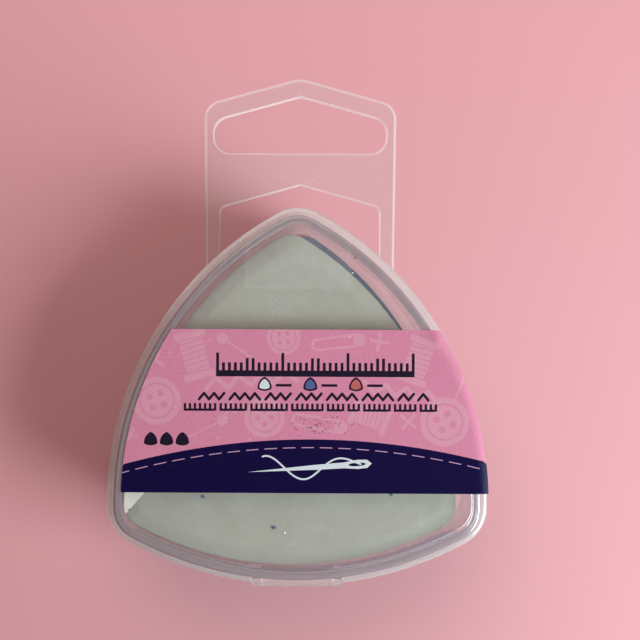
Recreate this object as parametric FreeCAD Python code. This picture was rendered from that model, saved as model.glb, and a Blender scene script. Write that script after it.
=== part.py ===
"""Clear hanging box with three tailor's chalks.

The box lies on its back: the flat back is at z = 0, the hanging tab points to +Y and the lid faces up.
The origin is the middle of the box's rounded triangle, on the back. Sizes are in millimetres.
"""
import math
import os

import FreeCAD
import Part

Vec = FreeCAD.Vector
X_AXIS = Vec(1, 0, 0)
Z_AXIS = Vec(0, 0, 1)

# Case outline: a rounded triangle with bulging sides, one corner towards +Y. This is the lid's flange.
CASE_SPAN = 51.7  # between the centres of two corner arcs
CASE_CORNER = 7.2  # radius of a corner arc
CASE_BULGE = 7.25  # how far the sides on the tab's left and right stand out past their straight tangents
HINGE_BULGE = 6.6  # the same for the hinge's side

# Case walls
WALL = 1.1  # side walls of the base and of the lid
FLOOR = 1.2  # back of the base
LID_TOP = 1.2  # face of the lid
FLANGE_WIDTH = 1.6  # how far the flanges stand out from the walls
FLANGE_THICKNESS = 1.2
FLANGE_STEP = 0.35  # how far the base's flange stays inside the lid's
PARTING_GAP = 0.06  # between the base's flange and the lid's
LID_DEPTH = 4.4  # from the parting face to the lid's face
LIP_HEIGHT = 1.5  # the base's lip, which stands up inside the lid
LIP_THICKNESS = 0.6
LIP_GAP = 0.08  # all round the lip
EDGE_RADIUS = 0.6  # outer edge of the lid's face
CEILING_RADIUS = 0.35  # inside the lid, where its face meets its wall
FLANGE_RADIUS = 0.3  # outer edges of the flanges

# Chalks, stacked on the floor of the base
CHALK_THICKNESS = 5.2
CHALK_CORNER = 3.8
CHALK_BULGE = 6.8  # of the case's outline that a chalk follows, between its sides' two bulges
CHALK_PLAY = 1.7  # between a centred chalk and the wall, more or less
CHALK_HEADROOM = 1.0  # over the top chalk
BEVEL_WIDTH = 2.4  # the sloping rim of a chalk, seen from above
BEVEL_DROP = 0.6  # how much thinner the chalk is at its edge, on each face
CHALKS = [  # from the back: name, then its slide in x and y and a corner's swing, in shares of the play
    ("red_chalk", -0.48, 0.32, -0.63),
    ("blue_chalk", -0.40, -0.16, -0.84),
    ("white_chalk", -0.70, -0.16, 0.03),
]

# Hinge, at the middle of the side opposite the tab: the lid's barrel turns between the base's two ears
HINGE_LENGTH = 15.8  # over both ears
EAR_THICKNESS = 1.5
EAR_RADIUS = 0.8
EAR_DEPTH = 3.0  # how far an ear's root reaches down the wall
BARREL_PROUD = 0.2  # how far the barrel stands out past the flange
BARREL_GAP = 0.2  # between the barrel and the base's wall
PIN_RADIUS = 0.4
PIN_GAP = 0.05  # round a pin, in its ear
EAR_GAP = 0.15  # between the barrel's end and an ear
NOTCH_GAP = 0.15  # between an ear and the end of a flange
WEB_GAP = 0.15  # between the barrel's web and the parting face

# Hanging tab, in the plane of the back
TAB_THICKNESS = 1.0
TAB_FOOT_WIDTH = 34.2  # where its straight sides would reach the middle of the box
TAB_TOP_WIDTH = 35.7  # at its shoulders
TAB_RISE = 25.15  # from the box's corner to the tab's peak
GABLE_ANGLE = 15.5  # slope of its two top edges, and of the slot's and window's
TAB_SHOULDER_RADIUS = 3.4
TAB_PEAK_RADIUS = 6.5
TAB_EDGE_RADIUS = 0.25

SLOT_WIDTH = 32.0  # the hanging slot
SLOT_HEIGHT = 10.3  # to its peak
SLOT_FROM_PEAK = 3.45  # between the tab's peak and the slot's
SLOT_RADIUS = 3.0

WINDOW_WIDTH = 29.5  # the opening between the slot and the box
WINDOW_FROM_PEAK = 19.8  # between the tab's peak and the window's
WINDOW_RADIUS = 1.4

# Printed label and sealing tape, both stuck on the lid
LABEL_THICKNESS = 0.12
LABEL_INSET = 1.55  # between the flange's edge and a centred label
LABEL_SHIFT = 1.4  # how far it has been stuck off centre, towards +X
LABEL_TOP = 15.85
LABEL_BOTTOM = -12.1

TAPE_THICKNESS = 0.08
TAPE_WIDTH = 18.2
TAPE_REACH = 14.15  # from the box's corner, over the lid's face
TAPE_FLAP = 2.6  # how far it hangs below the parting face

# Places that follow from these sizes
WALL_INSET = FLANGE_WIDTH
CAVITY_INSET = FLANGE_WIDTH + WALL
DEPTH = FLOOR + len(CHALKS) * CHALK_THICKNESS + CHALK_HEADROOM + LID_TOP
PARTING = DEPTH - LID_DEPTH
LID_FOOT = PARTING + PARTING_GAP
PEAK_Y = CASE_SPAN / math.sqrt(3) + CASE_CORNER
BACK_Y = -(CASE_SPAN / (2 * math.sqrt(3)) + CASE_CORNER + HINGE_BULGE)
BARREL_RADIUS = (BARREL_PROUD + FLANGE_WIDTH - BARREL_GAP) / 2
HINGE_Y = BACK_Y - BARREL_PROUD + BARREL_RADIUS
FAR = 4 * CASE_SPAN  # longer than anything here, for trimming


def side(bulge):
    """How far the centre of a side's arc lies behind the middle of the case, and the arc's radius."""
    reach = ((CASE_SPAN / 2) ** 2 + bulge**2) / (2 * bulge)
    return reach - bulge - CASE_SPAN / (2 * math.sqrt(3)), reach + CASE_CORNER


# The sides by the direction they face, in degrees
CASE_SIDES = {30: side(CASE_BULGE), 150: side(CASE_BULGE), 270: side(HINGE_BULGE)}
CHALK_SIDES = {30: side(CHALK_BULGE), 150: side(CHALK_BULGE), 270: side(CHALK_BULGE)}


def polar(radius, degrees):
    """The point at this distance and direction from the middle of the case."""
    return Vec(radius * math.cos(math.radians(degrees)), radius * math.sin(math.radians(degrees)), 0)


def meeting(first, first_reach, second, second_reach, towards):
    """The point at these distances from two centres, on the side of them that towards points to."""
    along = second - first
    run = (along.Length**2 + first_reach**2 - second_reach**2) / (2 * along.Length)
    across = Z_AXIS.cross(along).normalize()
    if across.dot(towards) < 0:
        across = -across
    return first + along.normalize() * run + across * math.sqrt(first_reach**2 - run**2)


def outline(inset, corner=None, sides=CASE_SIDES):
    """The case's rounded triangle moved in by inset. corner gives its corners a radius of their own."""
    corner = CASE_CORNER - inset if corner is None else corner
    corners = []
    for turn in (90, 210, 330):
        circles = []
        for facing in (turn - 60, (turn + 60) % 360):
            behind, radius = sides[facing]
            circles.append((polar(behind, facing + 180), radius - inset))
        (before, before_radius), (after, after_radius) = circles
        tip = meeting(before, before_radius - corner, after, after_radius - corner, polar(1, turn))
        start = tip + (tip - before).normalize() * corner
        end = tip + (tip - after).normalize() * corner
        corners.append((start, tip + polar(corner, turn), end, after + polar(after_radius, turn + 60)))
    edges = []
    for index, (start, middle, end, next_middle) in enumerate(corners):
        edges.append(Part.Arc(start, middle, end).toShape())
        edges.append(Part.Arc(end, next_middle, corners[(index + 1) % 3][0]).toShape())
    return Part.Wire(edges)


def prism(wire, bottom, top):
    """A closed wire, raised from bottom to top."""
    solid = Part.Face(wire).extrude(Vec(0, 0, top - bottom))
    solid.translate(Vec(0, 0, bottom))
    return solid


def block(x0, x1, y0, y1, z0, z1):
    """A box between two opposite corners."""
    return Part.makeBox(x1 - x0, y1 - y0, z1 - z0, Vec(x0, y0, z0))


def bar(radius, x0, x1):
    """A round bar along the hinge's axis."""
    return Part.makeCylinder(radius, x1 - x0, Vec(x0, HINGE_Y, PARTING), X_AXIS)


def rounded(solid, radius, chosen):
    """The solid with a fillet on the edges that chosen(edge) picks."""
    return solid.makeFillet(radius, [edge for edge in solid.Edges if chosen(edge)])


def level(z):
    """Picks the edges that lie wholly at height z."""
    return lambda edge: abs(edge.BoundBox.ZMin - z) < 1e-4 and abs(edge.BoundBox.ZMax - z) < 1e-4


def flange(inset, bottom, top, outer):
    """A flange with its rim rounded on the face away from the parting face, at height outer."""
    plate = rounded(prism(outline(inset), bottom, top), FLANGE_RADIUS, level(outer))
    half = HINGE_LENGTH / 2 + NOTCH_GAP
    beyond_wall = block(-half, half, -FAR, 0, bottom, top)
    return plate.cut(beyond_wall.cut(prism(outline(WALL_INSET), bottom, top)))


def make_base():
    """The tray: floor, wall, flange, the lip inside the lid, and the hinge's two ears."""
    tray = prism(outline(WALL_INSET), 0, PARTING)
    tray = tray.fuse(flange(FLANGE_STEP, PARTING - FLANGE_THICKNESS, PARTING, PARTING - FLANGE_THICKNESS))
    lip_inset = CAVITY_INSET - LIP_THICKNESS
    tray = tray.fuse(prism(outline(lip_inset), PARTING, PARTING + LIP_HEIGHT))
    for side in (-1, 1):
        x0, x1 = sorted((side * (HINGE_LENGTH / 2 - EAR_THICKNESS), side * HINGE_LENGTH / 2))
        root = block(x0, x1, HINGE_Y - EAR_RADIUS, BACK_Y + CAVITY_INSET, PARTING - EAR_DEPTH, PARTING)
        slope = Part.makeCylinder(EAR_DEPTH, x1 - x0, Vec(x0, HINGE_Y - EAR_RADIUS, PARTING - EAR_DEPTH), X_AXIS)
        slope.translate(Vec(0, 0, -EAR_RADIUS))
        ear = root.cut(slope).fuse(bar(EAR_RADIUS, x0, x1))
        tray = tray.fuse(ear).cut(bar(PIN_RADIUS + PIN_GAP, x0, x1))
    tray = tray.removeSplitter()
    return tray.cut(prism(outline(CAVITY_INSET), FLOOR, DEPTH)).removeSplitter()


def make_lid():
    """The lid: face, wall, flange, and the barrel with a pin at each end."""
    cap = rounded(prism(outline(WALL_INSET), LID_FOOT, DEPTH), EDGE_RADIUS, level(DEPTH))
    flange_top = LID_FOOT + FLANGE_THICKNESS
    cap = cap.fuse(flange(0, LID_FOOT, flange_top, flange_top))
    half = HINGE_LENGTH / 2 - EAR_THICKNESS - EAR_GAP
    web = block(-half, half, HINGE_Y, BACK_Y + CAVITY_INSET, PARTING + WEB_GAP, PARTING + BARREL_RADIUS)
    cap = cap.fuse(web)
    cap = cap.fuse(bar(BARREL_RADIUS, -half, half))
    cap = cap.fuse(bar(PIN_RADIUS, -HINGE_LENGTH / 2, HINGE_LENGTH / 2)).removeSplitter()
    ceiling = DEPTH - LID_TOP
    hollow = rounded(prism(outline(CAVITY_INSET), 0, ceiling), CEILING_RADIUS, level(ceiling))
    rebate = prism(outline(CAVITY_INSET - LIP_THICKNESS - LIP_GAP), 0, PARTING + LIP_HEIGHT + LIP_GAP)
    return cap.cut(hollow.fuse(rebate)).removeSplitter()


def fillet_corner(before, corner, after, radius):
    """Start, middle and end of the arc that rounds a corner between two straight edges."""
    back, ahead = (before - corner).normalize(), (after - corner).normalize()
    half = back.getAngle(ahead) / 2
    run, out = radius / math.tan(half), radius / math.sin(half)
    middle = (back + ahead).normalize() * (out - radius)
    return corner + back * run, corner + middle, corner + ahead * run


def rounded_polygon(corners):
    """A closed wire through corners, each given as a point and the radius that rounds it."""
    arcs = []
    for index, (corner, radius) in enumerate(corners):
        before, after = corners[index - 1][0], corners[(index + 1) % len(corners)][0]
        arcs.append(fillet_corner(before, corner, after, radius) if radius else (corner, corner, corner))
    edges = []
    for index, (start, middle, end) in enumerate(arcs):
        if (end - start).Length > 0:
            edges.append(Part.Arc(start, middle, end).toShape())
        edges.append(Part.LineSegment(end, arcs[(index + 1) % len(arcs)][0]).toShape())
    return Part.Wire(edges)


def gabled(width, peak, foot, radius, peak_radius, foot_radius=0, foot_width=None):
    """An upright shape with a gable at its top: its width at the shoulders, and the heights of peak and foot."""
    half, foot_half = width / 2, (foot_width or width) / 2
    slope = math.tan(math.radians(GABLE_ANGLE))
    sharp_peak = peak + peak_radius * (1 / math.cos(math.radians(GABLE_ANGLE)) - 1)
    shoulder = sharp_peak - half * slope
    return rounded_polygon([
        (Vec(0, sharp_peak, 0), peak_radius),
        (Vec(-half, shoulder, 0), radius),
        (Vec(-foot_half, foot, 0), foot_radius),
        (Vec(foot_half, foot, 0), foot_radius),
        (Vec(half, shoulder, 0), radius),
    ])


def make_hang_tab():
    """The flat tab, with its slot and the window above the box."""
    peak = PEAK_Y + TAB_RISE
    plate = gabled(TAB_TOP_WIDTH, peak, 0, TAB_SHOULDER_RADIUS, TAB_PEAK_RADIUS, foot_width=TAB_FOOT_WIDTH)
    slot_peak = peak - SLOT_FROM_PEAK
    slot = gabled(SLOT_WIDTH, slot_peak, slot_peak - SLOT_HEIGHT, SLOT_RADIUS, SLOT_RADIUS, SLOT_RADIUS)
    window = gabled(WINDOW_WIDTH, peak - WINDOW_FROM_PEAK, 0, WINDOW_RADIUS, WINDOW_RADIUS)
    tab = prism(plate, 0, TAB_THICKNESS)
    for hole in (slot, window):
        tab = tab.cut(prism(hole, 0, TAB_THICKNESS))
    tab = rounded(tab, TAB_EDGE_RADIUS, level(TAB_THICKNESS))
    tab = tab.cut(prism(outline(WALL_INSET), 0, TAB_THICKNESS))
    return max(tab.Solids, key=lambda solid: solid.BoundBox.YMax)


def make_chalk(index, slide_x, slide_y, swing):
    """One chalk, bevelled all round on both faces, where it lies in the stack."""
    inset = CAVITY_INSET + CHALK_PLAY
    turn = math.degrees(swing * CHALK_PLAY / (PEAK_Y - inset))
    edge_height = CHALK_THICKNESS - 2 * BEVEL_DROP
    rim = outline(inset, CHALK_CORNER, CHALK_SIDES)
    face = outline(inset + BEVEL_WIDTH, CHALK_CORNER - BEVEL_WIDTH / 2, CHALK_SIDES)

    def placed(wire, z):
        copy = wire.copy()
        copy.translate(Vec(0, 0, z))
        return copy

    chalk = prism(rim, BEVEL_DROP, BEVEL_DROP + edge_height)
    chalk = chalk.fuse(Part.makeLoft([face, placed(rim, BEVEL_DROP)], True, True))
    top = [placed(rim, BEVEL_DROP + edge_height), placed(face, CHALK_THICKNESS)]
    chalk = chalk.fuse(Part.makeLoft(top, True, True)).removeSplitter()
    chalk.rotate(Vec(0, 0, 0), Z_AXIS, turn)
    chalk.translate(Vec(slide_x * CHALK_PLAY, slide_y * CHALK_PLAY, FLOOR + index * CHALK_THICKNESS))
    return chalk


def make_label():
    """The printed label on the lid's face, shaped like the case and stuck off centre."""
    sheet = prism(outline(LABEL_INSET), DEPTH, DEPTH + LABEL_THICKNESS)
    sheet.translate(Vec(LABEL_SHIFT, 0, 0))
    return sheet.common(block(-FAR, FAR, LABEL_BOTTOM, LABEL_TOP, DEPTH, DEPTH + LABEL_THICKNESS))


def make_tape():
    """The sealing tape: over the lid's face, down its wall, over its flange, and free below that."""
    flange_top = LID_FOOT + FLANGE_THICKNESS
    inner = rounded(prism(outline(WALL_INSET), 0, DEPTH), EDGE_RADIUS, level(DEPTH))
    inner = inner.fuse(rounded(prism(outline(0), 0, flange_top), FLANGE_RADIUS, level(flange_top)))
    outer = prism(outline(WALL_INSET - TAPE_THICKNESS), 0, DEPTH + TAPE_THICKNESS)
    outer = rounded(outer, EDGE_RADIUS + TAPE_THICKNESS, level(DEPTH + TAPE_THICKNESS))
    flange_rim = prism(outline(-TAPE_THICKNESS), 0, flange_top + TAPE_THICKNESS)
    flange_rim = rounded(flange_rim, FLANGE_RADIUS + TAPE_THICKNESS, level(flange_top + TAPE_THICKNESS))
    strip = block(-TAPE_WIDTH / 2, TAPE_WIDTH / 2, PEAK_Y - TAPE_REACH, FAR, PARTING - TAPE_FLAP, FAR)
    return outer.fuse(flange_rim).cut(inner).common(strip).removeSplitter()


pieces = {
    "base_tray": make_base(),
    "hang_tab": make_hang_tab(),
    "lid": make_lid(),
    "front_label": make_label(),
    "seal_tape": make_tape(),
}
for index, (name, slide_x, slide_y, swing) in enumerate(CHALKS):
    pieces[name] = make_chalk(index, slide_x, slide_y, swing)

os.makedirs("parts", exist_ok=True)
for name, shape in pieces.items():
    solid = shape.Solids[0] if len(shape.Solids) == 1 else shape
    assert solid.isValid() and solid.Solids, name
    solid.exportStep(f"parts/{name}.step")
    box = solid.BoundBox
    print(f"{name}: {len(solid.Solids)} solid, {solid.Volume:.1f} mm3,"
          f" x {box.XMin:.2f}..{box.XMax:.2f}, y {box.YMin:.2f}..{box.YMax:.2f}, z {box.ZMin:.2f}..{box.ZMax:.2f}")
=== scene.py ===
"""Tailor's chalk box: the looks of its clear case, label, sealing tape and chalks.

Sizes are in millimetres and become metres when a mesh is made. Lamps and settings are in metres.
"""
import math
import random
from contextlib import contextmanager

import bmesh
import bpy
from mathutils import Matrix, Vector, geometry, noise


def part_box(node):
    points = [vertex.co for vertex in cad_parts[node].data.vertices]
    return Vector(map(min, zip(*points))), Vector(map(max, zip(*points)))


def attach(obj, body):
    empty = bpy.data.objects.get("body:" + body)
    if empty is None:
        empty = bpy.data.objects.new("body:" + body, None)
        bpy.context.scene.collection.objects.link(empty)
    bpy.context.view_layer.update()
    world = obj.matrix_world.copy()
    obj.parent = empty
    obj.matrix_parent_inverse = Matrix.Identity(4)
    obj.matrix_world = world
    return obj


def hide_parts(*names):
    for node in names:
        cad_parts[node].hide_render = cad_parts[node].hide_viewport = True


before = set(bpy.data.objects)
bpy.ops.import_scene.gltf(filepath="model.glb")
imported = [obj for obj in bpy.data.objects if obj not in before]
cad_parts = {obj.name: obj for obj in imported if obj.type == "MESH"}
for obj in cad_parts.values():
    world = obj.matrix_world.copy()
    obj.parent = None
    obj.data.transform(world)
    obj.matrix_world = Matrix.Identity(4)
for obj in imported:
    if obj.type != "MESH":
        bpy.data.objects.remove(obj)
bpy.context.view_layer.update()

bl_info = {
    "name": "Tailor's Chalk Box",
    "version": (1, 0, 0),
    "blender": (4, 5, 0),
    "location": "3D View > Sidebar > Chalk Box",
    "description": "Builds a clear hanging box of tailor's chalks around its CAD frame",
    "category": "Object",
}

MM = 0.001
TURN = 2 * math.pi

# ---------------------------------------------------------------- the case's outline

SPAN = 51.7  # between the centres of two corner arcs
CORNER = 7.2  # radius of a corner arc, at the lid's flange
BULGE, HINGE_BULGE = 7.25, 6.6  # how far the sides stand out past their straight tangents
CHALK_BULGE = 6.8  # of the outline that the chalks follow
WALL_INSET = 1.6  # from the flange's edge to the wall
CAVITY_INSET = 2.7  # from the flange's edge to the wall's inner face
NOTCH = 8.05  # half the gap in the flanges at the hinge
NOTCH_ROUND = 0.3  # rounding of the flanges' ends there
BACK_Y = -(SPAN / (2 * math.sqrt(3)) + CORNER + HINGE_BULGE)

DEPTH = (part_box("lid")[1] / MM).z
LIP_TOP = (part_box("base_tray")[1] / MM).z
TAB_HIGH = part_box("hang_tab")[1] / MM
LABEL_LOW, LABEL_HIGH = (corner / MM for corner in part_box("front_label"))
TAPE_LOW, TAPE_HIGH = (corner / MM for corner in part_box("seal_tape"))
PARTING = DEPTH - 4.4  # height of the line between the tray and the lid


class Station:
    """One place along an outline. Moving it in by an inset keeps it on its own normal."""

    def __init__(self, centre, angle, radius, flange=1.0):
        self.centre, self.radius = centre, radius
        self.flange = flange  # 1 where the flange is whole, 0 where it is cut away
        self.out = Vector((math.cos(angle), math.sin(angle)))

    def at(self, inset, z):
        point = self.centre + self.out * (self.radius - inset)
        return Vector((point.x, point.y, z))


def polar(radius, degrees):
    """The place at a distance from the middle, in a direction."""
    return Vector((radius * math.cos(math.radians(degrees)), radius * math.sin(math.radians(degrees))))


def side(bulge):
    """How far the centre of a side's arc lies behind the middle of the case, and the arc's radius."""
    reach = ((SPAN / 2) ** 2 + bulge**2) / (2 * bulge)
    return reach - bulge - SPAN / (2 * math.sqrt(3)), reach + CORNER


# The sides by the direction they face, in degrees
SIDES = {30: side(BULGE), 150: side(BULGE), 270: side(HINGE_BULGE)}
CHALK_SIDES = dict.fromkeys((30, 150, 270), side(CHALK_BULGE))


def corner_centre(turn, inset, corner, sides):
    """The centre of a corner's arc, equally far inside both of its sides."""
    (before, before_reach), (after, after_reach) = sides[turn % 360 - 60], sides[(turn + 60) % 360]
    before, after = polar(before, turn + 120), polar(after, turn - 120)
    before_reach, after_reach = before_reach - inset - corner, after_reach - inset - corner
    along = after - before
    run = (along.length**2 + before_reach**2 - after_reach**2) / (2 * along.length)
    across = along.orthogonal().normalized()
    if across.dot(polar(1, turn)) < 0:
        across = -across
    return before + along.normalized() * run + across * math.sqrt(before_reach**2 - run**2)


def outline(inset=0.0, corner=None, corner_steps=24, side_steps=44, notch=None, sides=SIDES):
    """Stations round the rounded triangle, anticlockwise from the hinge's side.

    notch gives half the width of a gap in the flange, in the middle of the hinge's side.
    """
    corner = CORNER - inset if corner is None else corner
    arcs = {}
    for middle in (270, 30, 150):
        behind, radius = sides[middle]
        centre = polar(behind, middle + 180)
        tip = corner_centre(middle + 60, inset, corner, sides)
        spread = abs((tip - centre).angle_signed(polar(1, middle)))
        arcs[middle] = centre, radius - inset, spread, tip  # a side spans its spread both ways
    stations = []
    for middle, (centre, radius, spread, tip) in arcs.items():
        heading = math.radians(middle)
        places = [(-spread + 2 * spread * step / side_steps, 1.0) for step in range(side_steps)]
        if notch and middle == 270:
            places = notched(places, notch / radius)
        stations += [Station(centre, heading + angle, radius, flange) for angle, flange in places]
        sweep = TURN / 3 - spread - arcs[(middle + 120) % 360][2]
        for step in range(corner_steps):
            stations.append(Station(tip, heading + spread + sweep * step / corner_steps, corner))
    return stations


def notched(places, half):
    """The places along a side with a gap in the flange whose ends are rounded."""
    rounding = NOTCH_ROUND / SIDES[270][1]
    ends = []
    for share in (0, 0.15, 0.4, 0.7, 1.0):
        reach = 1 - NOTCH_ROUND / WALL_INSET * (1 - math.sqrt(1 - (1 - share) ** 2))
        ends.append((half + rounding * share, reach))
    kept = [place for place in places if abs(place[0]) > half + rounding * 1.1]
    inside = [(place[0], 0.0) for place in places if abs(place[0]) < half * 0.97]
    left = [(-angle, reach) for angle, reach in reversed(ends)]
    before = [place for place in kept if place[0] < 0]
    after = [place for place in kept if place[0] > 0]
    return before + left + [(-half, 0.0)] + inside + [(half, 0.0)] + ends + after


def arc(centre, radius, start, end, steps=4):
    """Points of an arc between two directions in degrees, both ends included."""
    points = []
    for step in range(steps + 1):
        angle = math.radians(start + (end - start) * step / steps)
        points.append((centre[0] + radius * math.cos(angle), centre[1] + radius * math.sin(angle)))
    return points


# ---------------------------------------------------------------- meshes

PLASTICS = ("polished_plastic", "rim_plastic", "wall_plastic", "edge_plastic", "ring_plastic")
POLISHED, RIM, SIDE, EDGE, RING = range(len(PLASTICS))


def new_piece(name, mesh, body, slot, *nodes):
    """A finished piece on a body of the frame, standing for these CAD nodes."""
    piece = bpy.data.objects.new(name, mesh)
    bpy.context.scene.collection.objects.link(piece)
    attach(piece, body)
    if nodes:
        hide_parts(*nodes)
    return piece


def mesh_from(name, points, faces, materials, indices=None):
    """A smooth-shaded mesh of these points, given in millimetres."""
    mesh = bpy.data.meshes.new(name)
    mesh.from_pydata([Vector(point) * MM for point in points], [], faces)
    for material in materials:
        mesh.materials.append(material)
    mesh.polygons.foreach_set("use_smooth", [True] * len(mesh.polygons))
    if indices:
        mesh.polygons.foreach_set("material_index", indices)
    mesh.update()
    return mesh


@contextmanager
def edited(mesh):
    """Opens a mesh for editing and writes it back at the end."""
    work = bmesh.new()
    work.from_mesh(mesh)
    yield work
    work.to_mesh(mesh)
    work.free()


def ring_faces(rings, count, first=0):
    """The faces between closed rings of count points each, whose points follow on from number first."""
    faces = []
    for start in range(first, first + (rings - 1) * count, count):
        for i in range(count):
            j = (i + 1) % count
            faces.append((start + i, start + j, start + count + j, start + count + i))
    return faces


def swept(name, stations, profile, materials, slots):
    """A closed body. Each point of profile is (inset, z, inset in the notch, z in the notch)."""
    points, faces, indices = [], [], []
    count, total = len(profile), len(stations)
    for station in stations:
        share = station.flange
        for inset, z, off_inset, off_z in profile:
            points.append(station.at(off_inset + (inset - off_inset) * share, off_z + (z - off_z) * share))
    for i in range(total):
        a, b = i * count, (i + 1) % total * count
        for j in range(count - 1):
            faces.append((a + j, a + j + 1, b + j + 1, b + j))
            indices.append(slots[j])
    faces.append([i * count for i in range(total)])
    faces.append([i * count + count - 1 for i in reversed(range(total))])
    return mesh_from(name, points, faces, materials, indices + [0, 0])


def section(points, off_points):
    """Adds to each point of a section its place where the flange is cut away."""
    return [(x, z, off_x, off_z) for (x, z), (off_x, off_z) in zip(points, off_points)]


def against_wall(points, low, high):
    """The same number of points, spread up the wall between two heights."""
    last = len(points) - 1
    return [(WALL_INSET, low + (high - low) * i / last) for i in range(len(points))]


def bar_mesh(name, shape, x0, x1, materials, bevel):
    """A bar along X whose section is a closed (y, z) line, with its end edges eased."""
    count, points = len(shape), []
    centre = Vector((0, sum(y for y, _ in shape) / count, sum(z for _, z in shape) / count))
    for x, shrink in ((x0, bevel), (x0 + bevel, 0), (x1 - bevel, 0), (x1, bevel)):
        for y, z in shape:
            away = Vector((0, y, z)) - centre
            points.append(Vector((x, y, z)) - away.normalized() * min(shrink, away.length * 0.5))
    faces = [list(range(count))[::-1], [count * 3 + i for i in range(count)]]
    return outward(mesh_from(name, points, faces + ring_faces(4, count), materials))


def outward(mesh):
    """The mesh with every face turned outwards."""
    with edited(mesh) as work:
        bmesh.ops.recalc_face_normals(work, faces=work.faces)
    return mesh


def combined(mesh, others):
    """The mesh after others, given as (mesh, "UNION" or "DIFFERENCE"), are joined to it or cut from it."""
    holder = bpy.data.objects.new("combining", mesh)
    bpy.context.scene.collection.objects.link(holder)
    helpers = []
    for other, operation in others:
        helper = bpy.data.objects.new("combined", other)
        bpy.context.scene.collection.objects.link(helper)
        helpers.append(helper)
        modifier = holder.modifiers.new(operation, "BOOLEAN")
        modifier.operation, modifier.solver, modifier.object = operation, "EXACT", helper
    graph = bpy.context.evaluated_depsgraph_get()
    result = bpy.data.meshes.new_from_object(holder.evaluated_get(graph), depsgraph=graph)
    for thing in [holder] + helpers:
        bpy.data.objects.remove(thing)
    return result


def moulded(piece):
    """Smooth shading that keeps flat faces flat and sharp edges sharp."""
    for face in piece.data.polygons:
        if abs(face.normal.z) > 0.9999:
            face.use_smooth = False
    piece.data.set_sharp_from_angle(angle=math.radians(32))
    modifier = piece.modifiers.new("Even Normals", "WEIGHTED_NORMAL")
    modifier.keep_sharp = True
    modifier.weight = 100
    return piece


def rounded_loop(corners):
    """A closed line through corners, each given as (x, y, rounding radius)."""
    loop, steps = [], 7
    for index, (x, y, radius) in enumerate(corners):
        here = Vector((x, y))
        before = Vector(corners[index - 1][:2]) - here
        after = Vector(corners[(index + 1) % len(corners)][:2]) - here
        if not radius:
            loop.append(here)
            continue
        back, ahead = before.normalized(), after.normalized()
        half = back.angle(ahead) / 2
        centre = here + (back + ahead).normalized() * (radius / math.sin(half))
        start, end = here + back * radius / math.tan(half), here + ahead * radius / math.tan(half)
        first = math.atan2((start - centre).y, (start - centre).x)
        sweep = (math.atan2((end - centre).y, (end - centre).x) - first + math.pi) % TURN - math.pi
        for step in range(steps + 1):
            angle = first + sweep * step / steps
            loop.append(centre + Vector((math.cos(angle), math.sin(angle))) * radius)
    return loop


def gabled(width, peak, foot, radius, peak_radius, foot_radius=0.0, foot_width=None):
    """A closed line with a gable at its top, anticlockwise."""
    half, foot_half = width / 2, (foot_width or width) / 2
    sharp = peak + peak_radius * (1 / math.cos(GABLE) - 1)
    shoulder = sharp - half * math.tan(GABLE)
    return rounded_loop([
        (0, sharp, peak_radius), (-half, shoulder, radius), (-foot_half, foot, foot_radius),
        (foot_half, foot, foot_radius), (half, shoulder, radius)])


def plate(name, loops, bottom, top, edge, hole_edge, materials):
    """A flat plate: the first loop is its outside, the others are holes. Its upper edges are rounded."""
    points, faces, firsts = [], [], []
    for number, loop in enumerate(loops):
        count, facing, radius = len(loop), -1 if number else 1, hole_edge if number else edge
        levels = [(0.12, bottom), (0.04, bottom + 0.04), (0, bottom + 0.12)]
        levels += arc((radius, top - radius), radius, 180, 90, 6)
        first = len(points)
        firsts.append((first, count))
        normals = []
        for index, point in enumerate(loop):
            along = (loop[(index + 1) % count] - loop[index - 1]).normalized()
            normals.append(Vector((along.y, -along.x)))  # outwards from an anticlockwise loop
        for inset, z in levels:
            for point, normal in zip(loop, normals):
                place = point - normal * inset * facing
                points.append((place.x, place.y, z))
        faces += [quad[::facing] for quad in ring_faces(len(levels), count, first)]
    slots = [EDGE] * len(faces)
    for level in (0, len(levels) - 1):
        rings = [(first + level * count, count) for first, count in firsts]
        faces += filled(points, [range(start, start + count) for start, count in rings])
    slots += [POLISHED] * (len(faces) - len(slots))
    return outward(mesh_from(name, points, faces, materials, slots))


def filled(points, loops):
    """Faces between an outer loop and the holes in it, each loop given by its points' numbers."""
    flat, edges, borders = [], [], []
    for loop in loops:
        start, count = len(flat), len(loop)
        flat += loop
        edges += [(start + i, start + (i + 1) % count) for i in range(count)]
        borders.append([Vector(points[index][:2]) for index in loop])
    spots = [Vector(points[index][:2]) for index in flat]
    found, _, cut, origins, _, _ = geometry.delaunay_2d_cdt(spots, edges, [], 0, 1e-7)
    faces = []
    for face in cut:
        centre = sum((found[i] for i in face), Vector((0, 0))) / len(face)
        within = [covers(border, bounds(border), centre) for border in borders]
        if within[0] and not any(within[1:]):
            faces.append(tuple(flat[origins[i][0]] for i in face))
    return faces


# ---------------------------------------------------------------- the clear tray, with its tab and hinge ears

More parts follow.
